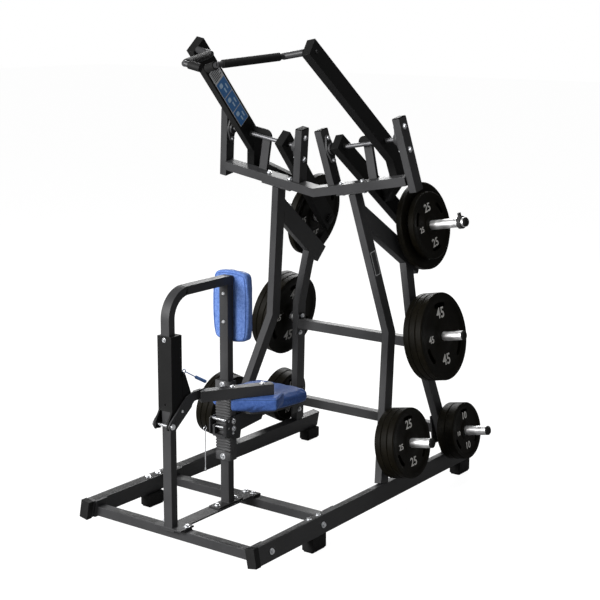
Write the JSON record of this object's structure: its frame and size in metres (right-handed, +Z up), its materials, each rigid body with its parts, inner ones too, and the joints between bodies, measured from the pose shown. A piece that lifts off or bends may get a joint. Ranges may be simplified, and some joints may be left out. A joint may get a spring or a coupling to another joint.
{
  "type": "lat pulldown machine",
  "caption": "Plate-loaded lat pulldown with two independent overhead arms, leaning side frames, chest pad, ratcheting seat and thigh hold-down, weight horns and storage horns.",
  "frame": {"origin": "floor level, centre of the bounding box footprint", "axes": "+X to the seated user's left hand side, +Y from the user towards the weight tower, +Z up"},
  "size_m": [1.5248, 1.917, 2.3389],
  "materials": {
    "frame_paint": "textured satin black powder coat",
    "arm_paint": "satin black powder coat",
    "rack_steel": "grey painted steel",
    "black_rubber": "matte moulded rubber",
    "grip_tape": "gritty grip tape",
    "zinc_bolts": "zinc plated",
    "bright_steel": "bright turned steel",
    "handle_steel": "satin plated steel",
    "horn_chrome": "polished chrome",
    "plate_rubber": "semi matte moulded rubber with light grey numbers",
    "clamp_plastic": "matte",
    "pad_vinyl": "blue mottled vinyl",
    "pad_board": "black painted plywood",
    "blue_strap": "blue webbing and grip"
  },
  "bodies": {
    "frame": {"left_rail": "frame_paint", "right_rail": "frame_paint", "rail_end_caps": "black_rubber", "grip_strips": "grip_tape", "feet": "black_rubber", "front_cross_tube": "frame_paint", "second_cross_tube": "frame_paint", "spine_bar": "frame_paint", "base_bolts": "zinc_bolts", "front_post": "frame_paint", "mast": "frame_paint", "ratchet_plate": "rack_steel", "mast_bolts": "zinc_bolts", "chest_board": "pad_board", "chest_pad": "pad_vinyl", "left_front_leg": "frame_paint", "right_front_leg": "frame_paint", "left_rear_leg": "frame_paint", "right_rear_leg": "frame_paint", "left_diagonal": "frame_paint", "right_diagonal": "frame_paint", "stop_bumpers": "black_rubber", "rear_cross_frame": "frame_paint", "tower_bolts": "zinc_bolts", "top_bar": "frame_paint", "uprights": "frame_paint", "bearing_flanges": "frame_paint", "arm_axles": "bright_steel", "storage_horns": "horn_chrome", "storage_plates_45": "plate_rubber", "storage_plates_25": "plate_rubber", "storage_plates_10": "plate_rubber", "storage_horn_caps": "black_rubber"},
    "seat": {"seat_carriage": "frame_paint", "seat_pins": "bright_steel", "seat_board": "pad_board", "seat_pad": "pad_vinyl", "seat_lanyard": "bright_steel"},
    "seat_catch": {"seat_latch": "frame_paint"},
    "thigh_slider": {"thigh_sleeve": "frame_paint", "thigh_pivot_pin": "bright_steel"},
    "thigh_arm": {"thigh_lever": "frame_paint", "thigh_pad": "pad_vinyl", "thigh_bolts": "zinc_bolts"},
    "thigh_catch": {"thigh_latch": "black_rubber", "thigh_lanyard": "blue_strap"},
    "left_lift_arm": {"left_arm": "arm_paint", "left_handle": "handle_steel", "left_hand_grip": "black_rubber", "left_weight_horn": "horn_chrome", "left_horn_cap": "black_rubber"},
    "right_lift_arm": {"right_arm": "arm_paint", "right_handle": "handle_steel", "right_hand_grip": "black_rubber", "right_weight_horn": "horn_chrome", "right_horn_cap": "black_rubber"},
    "left_plate_stack": {"left_arm_plates": "plate_rubber"},
    "right_plate_stack": {"right_arm_plates": "plate_rubber"},
    "left_clamp": {"left_collar": "clamp_plastic"},
    "right_clamp": {"right_collar": "clamp_plastic"}
  },
  "joints": [
    {"name": "seat_height", "type": "slide", "parent": "frame", "child": "seat", "axis": [0, 0, 1], "range_m": [-0.1, 0.1]},
    {"name": "seat_catch_release", "type": "hinge", "parent": "seat", "child": "seat_catch", "pos_m": [0, -0.5375, 0.519], "axis": [1, 0, 0], "range_deg": [-22, 4]},
    {"name": "thigh_height", "type": "slide", "parent": "frame", "child": "thigh_slider", "axis": [0, 0, 1], "range_m": [-0.12, 0.05]},
    {"name": "thigh_arm_swing", "type": "hinge", "parent": "thigh_slider", "child": "thigh_arm", "pos_m": [0, -0.9395, 0.628], "axis": [1, 0, 0], "range_deg": [-8, 0]},
    {"name": "thigh_catch_release", "type": "hinge", "parent": "thigh_slider", "child": "thigh_catch", "pos_m": [0.034, -0.848, 0.846], "axis": [1, 0, 0], "range_deg": [0, 10]},
    {"name": "left_arm_pull", "type": "hinge", "parent": "frame", "child": "left_lift_arm", "pos_m": [-0.28803, 0.20449, 1.82286], "axis": [0.9833, 0.0332, -0.1792], "range_deg": [0, 55]},
    {"name": "right_arm_pull", "type": "hinge", "parent": "frame", "child": "right_lift_arm", "pos_m": [0.28803, 0.20449, 1.82286], "axis": [0.9833, -0.0332, 0.1792], "range_deg": [0, 55]},
    {"name": "left_plates_slide", "type": "slide", "parent": "left_lift_arm", "child": "left_plate_stack", "axis": [-0.9833, -0.0332, 0.1792], "range_m": [0, 0.16]},
    {"name": "right_plates_slide", "type": "slide", "parent": "right_lift_arm", "child": "right_plate_stack", "axis": [0.9833, -0.0332, 0.1792], "range_m": [0, 0.16]},
    {"name": "left_clamp_slide", "type": "slide", "parent": "left_lift_arm", "child": "left_clamp", "axis": [-0.9833, -0.0332, 0.1792], "range_m": [-0.15, 0]},
    {"name": "right_clamp_slide", "type": "slide", "parent": "right_lift_arm", "child": "right_clamp", "axis": [0.9833, -0.0332, 0.1792], "range_m": [-0.15, 0]}
  ]
}
